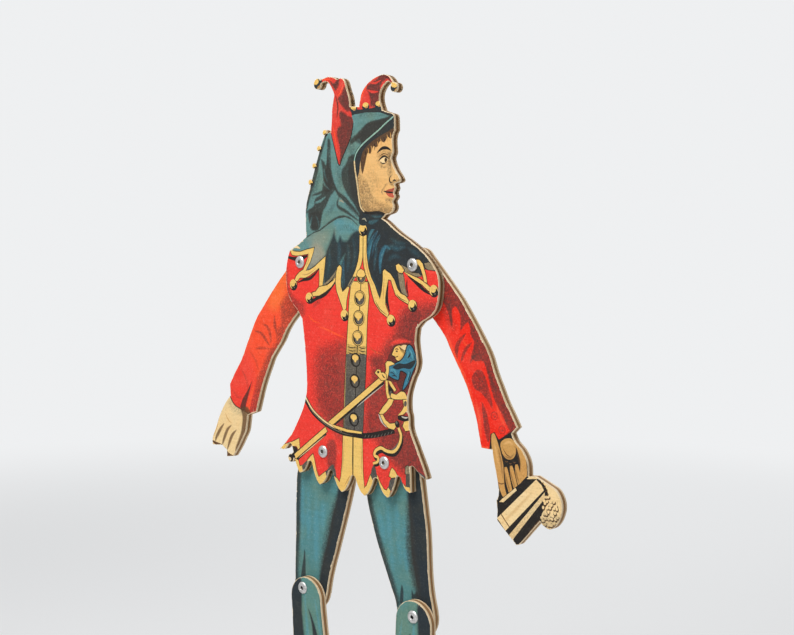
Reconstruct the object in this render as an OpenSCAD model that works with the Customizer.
// Jumping jack: a jester cut from printed plywood, its limbs pinned with blind rivets.
// Millimetres, +Z up, the printed faces look towards -Y. Left and right are the viewer's.
// The origin is the mouth of the hang hole, on the back face of the body panel.

/* [Plywood] */
// Thickness of every plate
plate_t = 4; // [3:0.5:6]
// Gap between the front and the back layer of plates
layer_gap = 0.3; // [0.2:0.05:0.6]

/* [Figure] */
// Shoulder pivots from the centre line
shoulder_x = 39; // [36:0.5:43]
// Hip pivots from the centre line
hip_x = 21.5; // [20.5:0.5:24]
// Shoulder line down to the hip pivots
torso_h = 97; // [88:1:110]
// Shoulder line up to the tops of the hood's horns
head_h = 93; // [85:1:102]
// Shoulder pivot to the wrist
arm_l = 98; // [90:1:106]
// Left hip pivot to the knee pivot
left_thigh_l = 76; // [70:0.5:84]
// Right hip pivot to the knee pivot
right_thigh_l = 75; // [70:0.5:84]
// Round top of the calf to the sole
calf_l = 104; // [94:1:114]

/* [Hem] */
// Height of the notches between the dags of the skirt
dag_h = 9.5; // [6:0.5:12]
// Bulge of the leaf-shaped sides of the dags
dag_bulge = 1.6; // [0.5:0.1:2.2]
// Width of the round tops of the notches
notch_w = 2.8; // [1.6:0.2:4]
// Fall of the round tops from their middle to their sides
notch_fall = 0.6; // [0.2:0.1:1.2]
// Width of the round tips of the dags
tip_w = 1.6; // [1:0.1:2.2]
// Rise of the round tips from their middle to their sides
tip_rise = 0.45; // [0.2:0.05:0.7]
// Notch beside the right corner, from the corner to the next tip
corner_notch = 0.84; // [0.5:0.02:0.88]
// Bulge of the sides of that notch
corner_bulge = 0.3; // [0:0.1:1]

/* [Bells] */
// Bell at the end of the left horn
left_bell_d = 5.4; // [4:0.2:7]
// Bell at the end of the right horn
right_bell_d = 4.6; // [4:0.2:7]
// Small bells down the back of the hood
tail_bell_d = 2.8; // [2:0.2:4]
// Knob at the foot of the fool's stick
stick_knob_d = 4.4; // [3.6:0.2:6]
// Width of the stick
stick_w = 3.2; // [2:0.1:3.4]

/* [Pose] */
// Left thigh, outward from plumb
left_thigh_out = 11.5; // [8:0.5:16]
// Right thigh, outward from plumb
right_thigh_out = 15; // [8:0.5:18]
// Left calf, inward from plumb
left_calf_in = 6; // [0:0.5:9]
// Right calf, inward from plumb
right_calf_in = 1.5; // [0:0.5:9]

/* [Limb ends] */
// Radius of the arm's end around its pivot
arm_end_r = 8.2; // [7.4:0.2:9]
// Radius of the thigh's top around its pivot
thigh_end_r = 18; // [16:0.5:19]
// Radius of the thigh's foot behind the knee
knee_end_r = 12; // [11:0.5:13]
// Middle of the left thigh's foot, inward of the knee pivot
left_knee_end_in = 1.2; // [0:0.2:2.4]
// Middle of the right thigh's foot, inward of the knee pivot
right_knee_end_in = 2.4; // [0:0.2:2.8]
// Radius of the calf's top
calf_end_r = 11.2; // [10:0.2:12.5]

/* [Strings] */
// String holes in the inner ends of the arms and thighs
string_d = 2; // [1.5:0.1:3]
// String hole from its pivot
lever_l = 11.5; // [10:0.5:13]
// Rise of the lever above level, at rest
lever_rise = 25; // [15:1:35]
// Width of wood around an arm's string hole
lever_wall = 3.3; // [2.5:0.1:4]

/* [Rivets] */
// Shank of the blind rivets
rivet_d = 3.2; // [2.4:0.1:4]
// Running clearance of the shank in its holes, on the radius
rivet_clear = 0.05; // [0.02:0.01:0.1]
// Head of the rivet
head_d = 6.5; // [5.5:0.1:8]
// Height of the domed head
head_t = 1.1; // [0.8:0.1:1.6]
// Width of the rolled lip around the bore
lip_w = 0.45; // [0.3:0.05:0.6]
// Bulge of the set tail
tail_d = 5; // [4.4:0.1:6]
// Length of the set tail
tail_l = 2.8; // [2:0.1:4]
// Stem of the mandrel
stem_d = 1.8; // [1.4:0.1:2]
// Clearance of the stem in the rivet, on the radius
stem_clear = 0.05; // [0.02:0.01:0.1]
// Neck at which the stem broke off
neck_d = 1.2; // [0.8:0.1:1.3]
// Length of the neck
neck_l = 0.4; // [0.2:0.1:0.8]
// Head of the mandrel, left behind the tail
mandrel_head_d = 3; // [2.6:0.1:3.4]
// Depth of the broken stem below the rivet's shoulder
stem_break = 2.5; // [1:0.1:5]
// Play of each rivet along its length
end_play = 0.1; // [0.05:0.01:0.2]

/* [Washers] */
// Outside of the washers under the tails
washer_d = 8; // [7:0.5:10]
// Thickness of the washers
washer_t = 0.8; // [0.5:0.1:1.2]
// Clearance of the washer around the shank, on the radius
washer_clear = 0.1; // [0.05:0.01:0.2]

/* [Hanging] */
// Hang hole above the shoulder line
hang_h = 60; // [52:1:66]
// Hang hole, for a nail or a screw head
hang_d = 4.5; // [3:0.1:6]
// Depth of the hang hole, from the back
hang_depth = 2.6; // [1.5:0.1:2.8]

/* [Hidden] */
$fn = 64;
LEFT = -1;
RIGHT = 1;

// Sizes at which the outlines below are drawn
drawn_shoulder_x = 39;
drawn_hip_x = 21.5;
drawn_torso_h = 97;
drawn_head_h = 93;
drawn_arm_l = 98;
drawn_thigh_l = 75;
drawn_calf_l = 104;

// Back faces of the two layers
front_y = 0;
back_y = layer_gap + plate_t;

// Pivots, in the plane of the figure
left_shoulder = [-shoulder_x, 0];
right_shoulder = [shoulder_x, 0];
left_hip = [-hip_x, -torso_h];
right_hip = [hip_x, -torso_h];
left_knee = left_hip + left_thigh_l * [-sin(left_thigh_out), -cos(left_thigh_out)];
right_knee = right_hip + right_thigh_l * [sin(right_thigh_out), -cos(right_thigh_out)];

// Pivot holes above the middle of each calf's round top, which differ a little
left_knee_rise = [-2.2, 5.3];
right_knee_rise = [0, 3.5];

// Rivets of the arms and thighs sit on the back plate, those of the calves on the front one
PIVOTS = [
    ["left_shoulder", left_shoulder, -end_play],
    ["right_shoulder", right_shoulder, -end_play],
    ["left_hip", left_hip, -end_play],
    ["right_hip", right_hip, -end_play],
    ["left_knee", left_knee, 0],
    ["right_knee", right_knee, 0],
];

// Points of an arc
function arc(centre, r, from, to, steps = 12) =
    [for (i = [0 : steps]) let (a = from + (to - from) * i / steps) centre + r * [cos(a), sin(a)]];

// Points of a smooth curve through p
function curve(p, steps = 4) = let (n = len(p) - 1) concat(
    [for (i = [0 : n - 1], j = [0 : steps - 1])
        let (a = p[max(i - 1, 0)], b = p[i], c = p[i + 1], d = p[min(i + 2, n)], t = j / steps)
        b + t / 2 * ((c - a) + t * ((2 * a - 5 * b + 4 * c - d) + t * (3 * (b - c) + d - a)))],
    [p[n]]);

// Corners of a straight bar from a to b
function bar(a, b, width) = let (along = (b - a) / norm(b - a), side = width / 2 * [-along.y, along.x])
    [a + side, b + side, b - side, a - side];

// Points of an outline moved to the sizes set above
function stretch(p, kx, kz) = [for (q = p) [q.x * kx, q.y * kz]];
function shift(p, by) = [for (q = p) q + by];
function mirrored(p) = [for (q = p) [-q.x, q.y]];
function turned(p, a) = [for (q = p) [q.x * cos(a) - q.y * sin(a), q.x * sin(a) + q.y * cos(a)]];

// The torso widens from the shoulders' scale to the hips' scale on the way down
function torso_point(q) = let (
    down = min(max(-q.y / drawn_torso_h, 0), 1),
    kx = (1 - down) * shoulder_x / drawn_shoulder_x + down * hip_x / drawn_hip_x,
    kz = q.y > 0 ? head_h / drawn_head_h : torso_h / drawn_torso_h
) [q.x * kx, q.y * kz];
function torso(p) = [for (q = p) torso_point(q)];
head_k = head_h / drawn_head_h;
function head(p) = stretch(p, head_k, head_k);

// Body panel, clockwise from the left corner of the skirt
left_side = [[-54.8, -99.8], [-49.8, -95.2], [-45.2, -90.2], [-41.8, -85], [-38.8, -80], [-35.9, -74],
    [-34.1, -67], [-34, -59],
    [-35, -47], [-36.5, -36], [-37.5, -29.5]];
left_cap = [[-37.5, -29.5], [-41, -25], [-45.5, -21], [-49, -15], [-50, -6], [-48.8, 1.5], [-47, 6]];
left_collar = [[-47, 6], [-41, 9], [-34.5, 13]];
hood_tail = [[-34.5, 13], [-35, 23], [-34.5, 29.5], [-32, 37.5], [-26, 53.5], [-22.5, 61.5], [-20.5, 65]];
left_horn_low = [[-16.5, 65.5], [-16, 72], [-15.8, 77], [-15, 81], [-14.4, 84], [-16, 87], [-18, 89.8],
    [-21, 91], [-25, 90]];
left_horn_top = [[-25, 92], [-19, 93.2], [-15, 92.5], [-12.5, 91.4], [-9.5, 91.7], [-7.3, 90], [-5.8, 86],
    [-4, 82], [-3.2, 77.3]];
right_horn_top = [[3, 76.8], [3.6, 79.5], [4.6, 83], [7.5, 86.5], [12, 89.3], [17.5, 90.8], [20.5, 90.7],
    [23.5, 89.2], [26.5, 85.5]];
right_horn_low = [[24.5, 85.8], [23, 87.2], [21, 87], [18.5, 85], [16.8, 82], [16.8, 78.5], [18.5, 74.3]];
hood_front = [[18.5, 74], [22.5, 72.6], [25.4, 71.8], [26.5, 70], [26.8, 64]];
face = [[26, 63], [25.2, 60], [25.4, 56], [25.6, 53.5], [24.5, 50.5], [26.5, 46], [30.3, 41], [29.8, 39.3],
    [26.8, 38.6], [27.3, 36.4], [26.3, 34.3], [27, 32.3], [25.5, 30.2], [26.4, 27.5], [25, 25], [21, 23.8]];
right_collar = [[18.8, 22], [22, 20.3], [29, 15.5], [39, 10], [47, 4.5], [51, 0.5], [54, -3.5], [55.2, -8],
    [55.1, -14], [54, -19], [52, -22.3], [48.5, -24.8], [44.5, -27], [41.5, -30]];
right_side = [[41.5, -30], [40.8, -35.5], [41.6, -41.5], [42.3, -46], [41.5, -50], [39.4, -54], [37.4, -59],
    [36.2, -64], [36.4, -70], [37.3, -72.8], [37.9, -79], [41.6, -86.5], [46, -95], [48.1, -99.6],
    [48.6, -101], [47.9, -101.7]];
hem_tips = [[47.9, -101.7], [38, -109.5], [23.5, -114], [8, -115.5], [-8, -116], [-24, -114.5], [-39, -110.5],
    [-54.8, -99.8]];

// One notch of the hem: from the round tip of one leaf-shaped dag, round the notch, and down to the next
function bow(a, b, bulge, steps = 4) =
    [for (i = [1 : steps]) let (t = i / steps) a + t * (b - a) - [0, bulge * 4 * t * (1 - t)]];
function notch(a, b, across, bulge) = let (
    top = [a.x + across * (b.x - a.x), (a.y + b.y) / 2 + dag_h],
    side = [notch_w / 2, 0],
    shoulder = top - [0, notch_fall],
    start = a + [-tip_w / 2, tip_rise],
    end = b + [tip_w / 2, tip_rise]
) concat([start], bow(start, shoulder + side, bulge), [top, shoulder - side],
    bow(shoulder - side, end, bulge), [b]);
hem = let (tips = torso(hem_tips)) [for (i = [0 : len(tips) - 2])
    each notch(tips[i], tips[i + 1], i == 0 ? corner_notch : 0.5, i == 0 ? corner_bulge : dag_bulge)];

body_outline = concat(
    torso(curve(left_side)), torso(curve(left_cap)), torso(left_collar), head(curve(hood_tail)),
    head(curve(left_horn_low)), head(curve(left_horn_top)), head(curve(right_horn_top)),
    head(curve(right_horn_low)), head(curve(hood_front)), head(curve(face)),
    torso(curve(right_collar)), torso(curve(right_side)), hem);

left_bell = head_k * [-26.4, 90.3];
right_bell = head_k * [26.2, 84.3];
tail_bells = head_k * [[-21.2, 65.6], [-25.4, 57.8], [-28.8, 49.2], [-31.6, 41]];
stick_knob = torso_point([-46, -103.5]);
stick_foot = torso_point([-38, -97.5]);

// Arms, from their pivots: down the outer edge and back up the inner one
left_outer = [[-5, 6.5], [-8, 3.5], [-16, -5], [-21.5, -10.5], [-28, -17.5], [-34, -24.5], [-39.5, -31],
    [-43.5, -38], [-47.5, -45.5], [-52.5, -55], [-58, -62.5], [-62.5, -69.5]];
left_hand = [[-62, -76], [-66.5, -80.5], [-71.5, -88], [-75, -95.5], [-78.2, -102], [-78, -105.7]];
left_fingers = [[-73.5, -105.5], [-69.5, -105], [-65.3, -107.3], [-65.3, -111], [-60, -110.2]];
left_palm = [[-60, -110.2], [-55.8, -105], [-52, -99.3], [-49.2, -94.7], [-48.2, -90], [-47.5, -85.5]];
left_inner = [[-40.2, -83], [-38, -76.5], [-36, -70.5], [-33, -63.5], [-30, -57.5], [-27.5, -52.5],
    [-24, -48], [-19.5, -42.5], [-16.5, -37.5], [-12.5, -32.5], [-6.5, -26.5], [1, -18], [8, -8]];
right_outer = [[5, 6.5], [8, 3.2], [15, -4], [24, -13.5], [28.5, -19], [36, -29.5], [42.5, -39.5],
    [46, -48], [49, -54], [52, -60], [56, -66.5], [59, -71.5]];
right_hand = [[56, -74.5], [58, -78], [61.5, -81], [64, -84.5], [65.2, -88], [65.5, -92.5]];
froth = [[69.5, -92], [76.5, -94.8], [80.5, -96.7], [83, -100.5], [83.6, -105], [82, -110], [79.2, -113.4],
    [76.5, -114.2], [73.5, -112.9]];
tankard = [[72, -111.5], [61, -124], [59.5, -124.5], [48.5, -115], [48.6, -110]];
right_knuckles = [[48, -106], [49.2, -103], [48.7, -98], [47.5, -93], [46, -87], [45.4, -83.2]];
right_inner = [[39, -83], [37.5, -77], [36, -70.5], [33.2, -63], [30.3, -56], [26.5, -49.5], [20.2, -39.3],
    [16.6, -33.2], [9.5, -25.5], [0, -17], [-8, -8]];

// Thigh and calf, hanging plumb from the pivot or the round top, outer side towards +X
left_thigh_outer = [[18.6, -6], [19.6, -12], [20.8, -19.6], [19.7, -27.5], [18, -37.3], [16, -47.1],
    [14.2, -57], [12.6, -66], [11, -74]];
left_thigh_inner = [[-13.4, -74], [-13.3, -66], [-14, -57.5], [-15, -50], [-16, -40.6], [-17.2, -30],
    [-18.4, -15], [-18.4, -6]];
right_thigh_outer = [[17.9, -6], [17.2, -14], [16.5, -21.5], [15.9, -28], [15.2, -35], [13.7, -43.2],
    [12.2, -50.2], [10.7, -58], [9.8, -66], [9.7, -74]];
right_thigh_inner = [[-14.2, -74], [-13.9, -67], [-15, -61.5], [-16.9, -50.6], [-18.8, -39.8], [-20, -29],
    [-20.6, -18.4], [-20, -11], [-18.6, -5]];
calf_outer = [[11.2, -4], [11.8, -18], [12.6, -32], [11.5, -50], [8.6, -68], [6.8, -82]];
shoe = [[8, -86], [15, -92], [24, -96], [32, -96.5], [38, -93], [39, -95], [36, -100.5], [27, -103.5],
    [8, -104], [-8, -104], [-10.8, -100], [-9.4, -91], [-7.2, -83]];
calf_inner = [[-7, -80], [-9.6, -66], [-12, -49], [-12.3, -30], [-11.6, -14], [-11.2, -4]];

// String holes, inward of their pivots
function string_hole(pivot, side) = pivot + lever_l * [-side * cos(lever_rise), sin(lever_rise)];
lever_r = string_d / 2 + lever_wall;

// The inner end of the left arm: round the string hole, then over the pivot
arm_end = concat(
    arc(string_hole([0, 0], LEFT), lever_r, lever_rise - 75, lever_rise + 85),
    arc([0, 0], arm_end_r, 85, 118, 4));
arm_k = arm_l / drawn_arm_l;
function arm_part(p) = stretch(p, arm_k, arm_k);
left_arm_outline = shift(concat(
    arm_end, arm_part(curve(left_outer)), arm_part(curve(left_hand)), arm_part(left_fingers),
    arm_part(curve(left_palm)), arm_part(curve(left_inner))), left_shoulder);
right_arm_outline = shift(concat(
    mirrored(arm_end), arm_part(curve(right_outer)), arm_part(curve(right_hand)), arm_part(curve(froth)),
    arm_part(tankard), arm_part(curve(right_knuckles)), arm_part(curve(right_inner))), right_shoulder);

function thigh_outline(length, outer, inner, knee_end_in) = let (k = length / drawn_thigh_l) concat(
    arc([0, 0], thigh_end_r, 180, 0, 24), stretch(curve(outer), 1, k),
    arc([-knee_end_in, -length], knee_end_r, 0, -180, 20), stretch(curve(inner), 1, k));
left_thigh_outline = shift(turned(mirrored(thigh_outline(
    left_thigh_l, left_thigh_outer, left_thigh_inner, left_knee_end_in)), -left_thigh_out), left_hip);
right_thigh_outline = shift(turned(thigh_outline(
    right_thigh_l, right_thigh_outer, right_thigh_inner, right_knee_end_in), right_thigh_out), right_hip);
calf_k = calf_l / drawn_calf_l;
calf_outline = concat(
    arc([0, 0], calf_end_r, 180, 0, 24), stretch(curve(calf_outer), 1, calf_k),
    stretch(curve(shoe), 1, calf_k), stretch(curve(calf_inner), 1, calf_k));

// A plate whose outline lies in the plane of the figure
module plate(outline, layer) {
    translate([0, layer, 0]) rotate([90, 0, 0]) linear_extrude(plate_t) polygon(outline);
}

// A round piece of a plate
module disc(at, d, layer) {
    translate([at.x, layer, at.y]) rotate([90, 0, 0]) cylinder(d = d, h = plate_t);
}

// A round hole through a plate
module hole(at, d, layer) {
    translate([at.x, layer - plate_t / 2, at.y]) rotate([90, 0, 0])
        cylinder(d = d, h = 2 * plate_t, center = true);
}

// A hole in which a rivet turns
module pivot_hole(at, layer) {
    hole(at, rivet_d + 2 * rivet_clear, layer);
}

// A turned piece that stands along +Y at a pivot
module turned_piece(pivot, profile) {
    translate([pivot[1].x, pivot[2] - plate_t, pivot[1].y]) rotate([-90, 0, 0])
        rotate_extrude() polygon(profile);
}

// The figure hangs from the origin
module hung() {
    translate([0, 0, -hang_h]) children();
}

module body_panel() {
    color("firebrick") hung() difference() {
        union() {
            plate(body_outline, front_y);
            disc(left_bell, left_bell_d, front_y);
            disc(right_bell, right_bell_d, front_y);
            for (at = tail_bells) disc(at, tail_bell_d, front_y);
            disc(stick_knob, stick_knob_d, front_y);
            plate(bar(stick_knob, stick_foot, stick_w), front_y);
        }
        for (at = [left_shoulder, right_shoulder, left_hip, right_hip]) pivot_hole(at, front_y);
        translate([0, front_y - hang_depth, hang_h]) rotate([-90, 0, 0]) cylinder(d = hang_d, h = plate_t);
    }
}

module left_arm() {
    color("tomato") hung() difference() {
        plate(left_arm_outline, back_y);
        pivot_hole(left_shoulder, back_y);
        hole(string_hole(left_shoulder, LEFT), string_d, back_y);
    }
}

module right_arm() {
    color("tomato") hung() difference() {
        plate(right_arm_outline, back_y);
        pivot_hole(right_shoulder, back_y);
        hole(string_hole(right_shoulder, RIGHT), string_d, back_y);
    }
}

module left_thigh() {
    color("cadetblue") hung() difference() {
        plate(left_thigh_outline, back_y);
        pivot_hole(left_hip, back_y);
        pivot_hole(left_knee, back_y);
        hole(string_hole(left_hip, LEFT), string_d, back_y);
    }
}

module right_thigh() {
    color("cadetblue") hung() difference() {
        plate(right_thigh_outline, back_y);
        pivot_hole(right_hip, back_y);
        pivot_hole(right_knee, back_y);
        hole(string_hole(right_hip, RIGHT), string_d, back_y);
    }
}

module left_calf() {
    color("steelblue") hung() difference() {
        plate(shift(turned(mirrored(calf_outline), left_calf_in), left_knee - left_knee_rise), front_y);
        pivot_hole(left_knee, front_y);
    }
}

module right_calf() {
    color("steelblue") hung() difference() {
        plate(shift(turned(calf_outline, -right_calf_in), right_knee - right_knee_rise), front_y);
        pivot_hole(right_knee, front_y);
    }
}

// Lengths along a rivet, from the underside of its head
grip_l = 2 * plate_t + layer_gap + end_play;
shank_l = grip_l + washer_t;
rivet_l = shank_l + tail_l;
bore_r = stem_d / 2 + stem_clear;
lip_r = bore_r + lip_w;

// Half-section of a set blind rivet: rolled lip, domed head, shank and bulged tail
module rivet(pivot) {
    dome = [for (a = [90 : -10 : 0]) [lip_r + (head_d / 2 - lip_r) * cos(a), -head_t * sin(a)]];
    lip = [for (a = [0 : 15 : 90]) [lip_r - lip_w * cos(a), -head_t + lip_w * (1 - sin(a))]];
    tail = [for (t = [0 : 0.1 : 1])
        [rivet_d / 2 + (tail_d - rivet_d) / 2 * sin(165 * t), shank_l + tail_l * t]];
    color("silver") hung() turned_piece(pivot, concat(
        lip, [for (i = [1 : len(dome) - 1]) dome[i]], [[rivet_d / 2, 0]], tail, [[bore_r, rivet_l]]));
}

// The broken stem and the head of the mandrel, which rests on the end of the tail
module mandrel(pivot) {
    cap = [for (a = [0 : 15 : 90]) [mandrel_head_d / 2 * cos(a), rivet_l + mandrel_head_d / 2 * sin(a)]];
    color("dimgray") hung() turned_piece(pivot, concat(
        [[0, stem_break], [neck_d / 2, stem_break], [stem_d / 2, stem_break + neck_l],
            [stem_d / 2, rivet_l]], cap));
}

module washer(pivot) {
    inner_r = rivet_d / 2 + washer_clear;
    color("gainsboro") hung() turned_piece(pivot, [[inner_r, grip_l], [washer_d / 2, grip_l],
        [washer_d / 2, shank_l], [inner_r, shank_l]]);
}

body_panel();
left_arm();
right_arm();
left_thigh();
right_thigh();
left_calf();
right_calf();
for (p = PIVOTS) {
    rivet(p);
    mandrel(p);
    washer(p);
}
